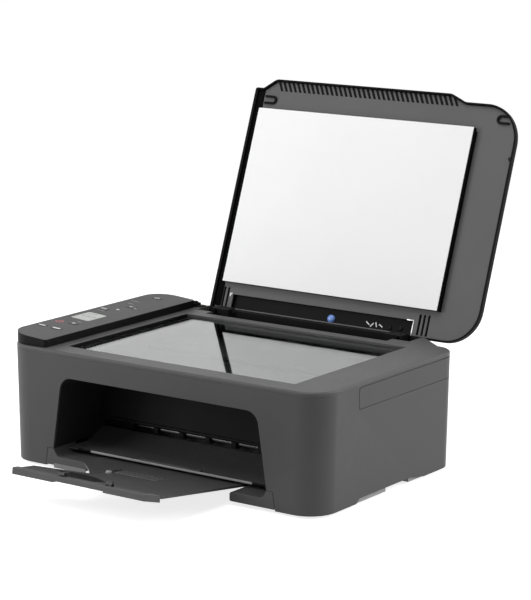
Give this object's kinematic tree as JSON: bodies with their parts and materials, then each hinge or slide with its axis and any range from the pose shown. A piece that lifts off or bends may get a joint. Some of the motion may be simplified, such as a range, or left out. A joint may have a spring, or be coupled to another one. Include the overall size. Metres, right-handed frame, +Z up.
{
  "type": "inkjet printer",
  "caption": "Compact inkjet printer with flatbed scanner: hinged lid, sliding output tray with fold-out flap, keys, paper support, moving carriage and geared feed rollers.",
  "frame": {"origin": "on the table, under the middle of the object's box", "axes": "+X to the right seen from the front, +Y to the rear, +Z up"},
  "size_m": [0.4382, 0.5537, 0.4104],
  "materials": {
    "case": "fine textured dark grey",
    "bezel": "fine textured mid grey",
    "liner": "smooth mid grey",
    "inner": "smooth black",
    "panel": "satin dark grey",
    "display": "glossy window",
    "key": "satin black",
    "glass": "clear polished",
    "sheet": "white film",
    "foam": "closed cell foam",
    "rubber": "matt black",
    "steel": "plated",
    "gear": "moulded acetal",
    "board": "solder mask",
    "cartridge_black": "moulded",
    "cartridge_color": "moulded"
  },
  "bodies": {
    "body": {"outer_case": "case", "right_side_insert": "case", "front_sill": "case", "bay_liner": "inner", "base_pan": "inner", "rubber_feet": "rubber", "platen_frame": "bezel", "platen_glass": "glass", "glass_strip": "glass", "scan_bed": "inner", "scan_rod": "steel", "panel_housing": "panel", "display_window": "display", "rear_tray": "inner", "rear_cover": "case", "hinge_sockets": "inner", "chassis_frame": "steel", "chassis_screws": "steel", "carriage_rod": "steel", "feed_motor": "steel", "carriage_motor": "steel", "carriage_belt": "rubber", "print_platen": "inner", "maintenance_station": "inner", "main_board": "board", "power_supply": "inner", "data_socket": "steel"},
    "lid": {"lid_shell": "case", "lid_liner": "liner", "backing_pad": "foam", "backing_sheet": "sheet", "hinge_arms": "inner"},
    "tray_slide": {"tray_slider": "inner"},
    "tray": {"output_tray": "case"},
    "extension": {"tray_extension": "case"},
    "inner_door": {"cartridge_door": "inner"},
    "scan_bar": {"scan_carriage": "inner"},
    "carriage": {"print_carriage": "inner", "black_cartridge": "cartridge_black", "color_cartridge": "cartridge_color"},
    "belt_drive": {"drive_pulley": "gear"},
    "belt_idler": {"idler_pulley": "gear"},
    "feed_roller": {"main_roller": "steel", "main_gear": "gear"},
    "exit_roller": {"exit_shaft": "steel", "exit_tyres": "rubber", "exit_gear": "gear"},
    "idler": {"idler_gear": "gear"},
    "pinion": {"motor_pinion": "gear"},
    "pickup": {"pickup_roller": "rubber"},
    "support": {"paper_support": "case"},
    "guide_left": {"left_paper_guide": "inner"},
    "guide_right": {"right_paper_guide": "inner"},
    "black_start_button": {"black_start_key": "key"},
    "color_start_button": {"color_start_key": "key"},
    "stop_button": {"stop_key": "key"},
    "copies_button": {"copies_key": "key"},
    "wireless_button": {"wireless_key": "key"},
    "power_button": {"power_key": "key"}
  },
  "joints": [
    {"name": "lid_hinge", "type": "hinge", "parent": "body", "child": "lid", "pos_m": [0, 0.1477, 0.1273], "axis": [-1, 0, 0], "range_deg": [-110.4, 0]},
    {"name": "tray_pull", "type": "slide", "parent": "body", "child": "tray_slide", "axis": [0, -1, 0], "range_m": [-0.129, 0]},
    {"name": "tray_tilt", "type": "hinge", "parent": "tray_slide", "child": "tray", "pos_m": [0, -0.0968, 0.0115], "axis": [-1, 0, 0], "range_deg": [-7.9, 0]},
    {"name": "extension_fold", "type": "hinge", "parent": "tray", "child": "extension", "pos_m": [0, -0.27109, 0.04033], "axis": [1, 0, 0], "range_deg": [0, 170]},
    {"name": "door_swing", "type": "hinge", "parent": "body", "child": "inner_door", "pos_m": [0, -0.0688, 0.047], "axis": [1, 0, 0], "range_deg": [0, 85]},
    {"name": "scan_travel", "type": "slide", "parent": "body", "child": "scan_bar", "axis": [1, 0, 0], "range_m": [0, 0.28]},
    {"name": "carriage_travel", "type": "slide", "parent": "body", "child": "carriage", "axis": [1, 0, 0], "range_m": [-0.21, 0]},
    {"name": "belt_drive_turn", "type": "hinge", "parent": "body", "child": "belt_drive", "pos_m": [-0.18, 0.0277, 0.086], "axis": [0, 0, 1], "range_deg": [-1990, 5]},
    {"name": "belt_idler_turn", "type": "hinge", "parent": "body", "child": "belt_idler", "pos_m": [0.18, 0.0277, 0.086], "axis": [0, 0, 1], "range_deg": [-1990, 5]},
    {"name": "feed_turn", "type": "hinge", "parent": "body", "child": "feed_roller", "pos_m": [0, 0.0012, 0.038], "axis": [1, 0, 0], "continuous": true},
    {"name": "exit_turn", "type": "hinge", "parent": "body", "child": "exit_roller", "pos_m": [0, -0.0488, 0.038], "axis": [1, 0, 0], "continuous": true},
    {"name": "idler_turn", "type": "hinge", "parent": "body", "child": "idler", "pos_m": [0.2015, -0.0238, 0.038], "axis": [1, 0, 0], "continuous": true},
    {"name": "pinion_turn", "type": "hinge", "parent": "body", "child": "pinion", "pos_m": [0.2015, -0.0093, 0.05619], "axis": [1, 0, 0], "continuous": true},
    {"name": "pickup_turn", "type": "hinge", "parent": "body", "child": "pickup", "pos_m": [0, 0.1032, 0.056], "axis": [1, 0, 0], "continuous": true},
    {"name": "support_tilt", "type": "hinge", "parent": "body", "child": "support", "pos_m": [0, 0.1502, 0.122], "axis": [-1, 0, 0], "range_deg": [0, 95]},
    {"name": "guide_left_slide", "type": "slide", "parent": "body", "child": "guide_left", "axis": [1, 0, 0], "range_m": [0, 0.056]},
    {"name": "guide_right_slide", "type": "slide", "parent": "body", "child": "guide_right", "axis": [1, 0, 0], "range_m": [-0.056, 0]},
    {"name": "black_start_press", "type": "slide", "parent": "body", "child": "black_start_button", "axis": [0, 0, -1], "range_m": [0, 0.001], "stiffness_N_per_m": 400, "springref_m": -0.0008},
    {"name": "color_start_press", "type": "slide", "parent": "body", "child": "color_start_button", "axis": [0, 0, -1], "range_m": [0, 0.001], "stiffness_N_per_m": 400, "springref_m": -0.0008},
    {"name": "stop_press", "type": "slide", "parent": "body", "child": "stop_button", "axis": [0, 0, -1], "range_m": [0, 0.001], "stiffness_N_per_m": 400, "springref_m": -0.0008},
    {"name": "copies_press", "type": "slide", "parent": "body", "child": "copies_button", "axis": [0, 0, -1], "range_m": [0, 0.001], "stiffness_N_per_m": 400, "springref_m": -0.0008},
    {"name": "wireless_press", "type": "slide", "parent": "body", "child": "wireless_button", "axis": [0, 0, -1], "range_m": [0, 0.001], "stiffness_N_per_m": 400, "springref_m": -0.0008},
    {"name": "power_press", "type": "slide", "parent": "body", "child": "power_button", "axis": [0, 0, -1], "range_m": [0, 0.001], "stiffness_N_per_m": 400, "springref_m": -0.0008}
  ],
  "couplings": [
    {"joint": "tray_tilt", "follows": "tray_pull", "rad_per_m": 1.0688},
    {"joint": "belt_drive_turn", "follows": "carriage_travel", "rad_per_m": 151.52},
    {"joint": "belt_idler_turn", "follows": "carriage_travel", "rad_per_m": 151.52},
    {"joint": "exit_turn", "follows": "feed_turn", "ratio": 1},
    {"joint": "idler_turn", "follows": "feed_turn", "ratio": -1.5},
    {"joint": "pinion_turn", "follows": "feed_turn", "ratio": -2.5},
    {"joint": "guide_right_slide", "follows": "guide_left_slide", "ratio": -1}
  ]
}
